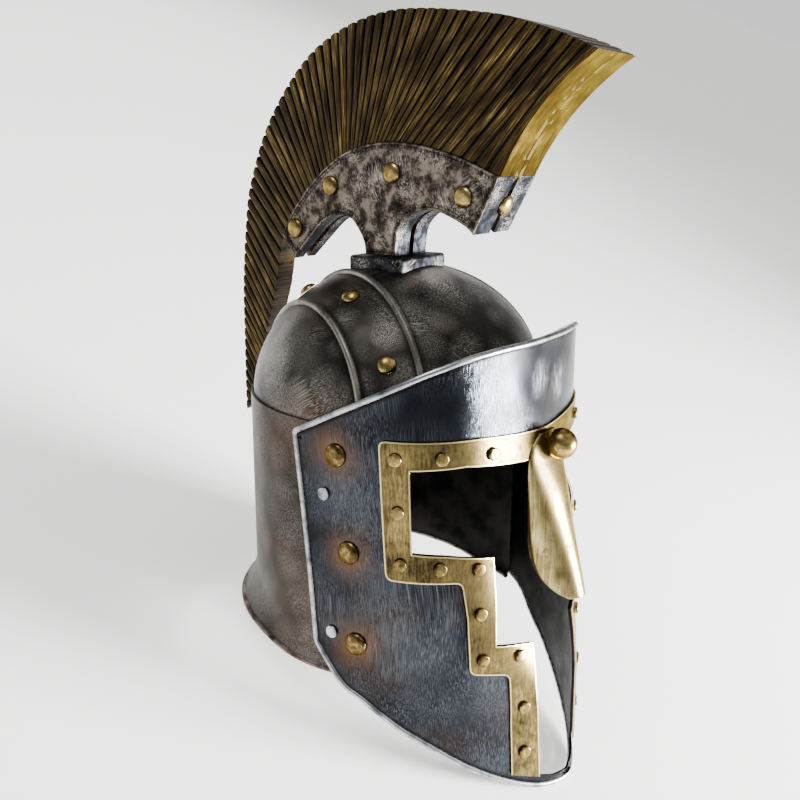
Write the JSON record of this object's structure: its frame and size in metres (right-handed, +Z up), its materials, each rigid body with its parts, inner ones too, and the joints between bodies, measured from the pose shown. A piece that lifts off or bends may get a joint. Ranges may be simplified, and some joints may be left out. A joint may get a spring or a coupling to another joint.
{
  "type": "gladiator helmet",
  "caption": "Open-faced gladiator helmet: steel dome, flared neck guard, riveted visor plate with brass trim and nose guard, and a tall grooved fan crest.",
  "frame": {"origin": "middle of the bounding box's base, where the helmet stands on its chin edge and neck rim", "axes": "+Z up, the face toward -Y, the wearer's left at +X; the head's own axis leans back as the helmet rests"},
  "size_m": [0.2234, 0.3948, 0.4228],
  "materials": {
    "antiqued_steel": "dark antiqued steel, brushed in swirls",
    "visor_steel": "blue-grey antiqued steel, brushed up and down",
    "bright_steel": "bright polished steel",
    "antique_brass": "antiqued brass with worn bright edges",
    "fan_brass": "dark olive-brown brass, black in the grooves",
    "crest_casting": "antiqued silver-brown casting"
  },
  "bodies": {
    "root": {"band_rivet_left_1": "antique_brass", "band_rivet_left_2": "antique_brass", "band_rivet_left_3": "antique_brass", "band_rivet_right_1": "antique_brass", "band_rivet_right_2": "antique_brass", "band_rivet_right_3": "antique_brass", "crest_fan_left": "fan_brass", "crest_fan_right": "fan_brass", "crest_front_rivet": "antique_brass", "crest_holder_left": "crest_casting", "crest_holder_right": "crest_casting", "crest_rivet_1": "antique_brass", "crest_rivet_2": "antique_brass", "crest_rivet_3": "antique_brass", "crest_rivet_4": "antique_brass", "crest_saddle": "crest_casting", "crown_rib_front": "antiqued_steel", "crown_rib_rear_left": "antiqued_steel", "crown_rib_rear_right": "antiqued_steel", "face_trim": "antique_brass", "neck_guard": "antiqued_steel", "nose_ball": "antique_brass", "nose_guard": "antique_brass", "skull_dome": "antiqued_steel", "steel_rivet_left_1": "bright_steel", "steel_rivet_left_2": "bright_steel", "steel_rivet_right_1": "bright_steel", "steel_rivet_right_2": "bright_steel", "trim_rivet_left_1": "antique_brass", "trim_rivet_left_10": "antique_brass", "trim_rivet_left_11": "antique_brass", "trim_rivet_left_12": "antique_brass", "trim_rivet_left_2": "antique_brass", "trim_rivet_left_3": "antique_brass", "trim_rivet_left_4": "antique_brass", "trim_rivet_left_5": "antique_brass", "trim_rivet_left_6": "antique_brass", "trim_rivet_left_7": "antique_brass", "trim_rivet_left_8": "antique_brass", "trim_rivet_left_9": "antique_brass", "trim_rivet_right_1": "antique_brass", "trim_rivet_right_10": "antique_brass", "trim_rivet_right_11": "antique_brass", "trim_rivet_right_12": "antique_brass", "trim_rivet_right_2": "antique_brass", "trim_rivet_right_3": "antique_brass", "trim_rivet_right_4": "antique_brass", "trim_rivet_right_5": "antique_brass", "trim_rivet_right_6": "antique_brass", "trim_rivet_right_7": "antique_brass", "trim_rivet_right_8": "antique_brass", "trim_rivet_right_9": "antique_brass", "visor_edge_wire": "bright_steel", "visor_plate": "visor_steel", "visor_rivet_left_1": "antique_brass", "visor_rivet_left_2": "antique_brass", "visor_rivet_left_3": "antique_brass", "visor_rivet_right_1": "antique_brass", "visor_rivet_right_2": "antique_brass", "visor_rivet_right_3": "antique_brass"}
  },
  "joints": []
}
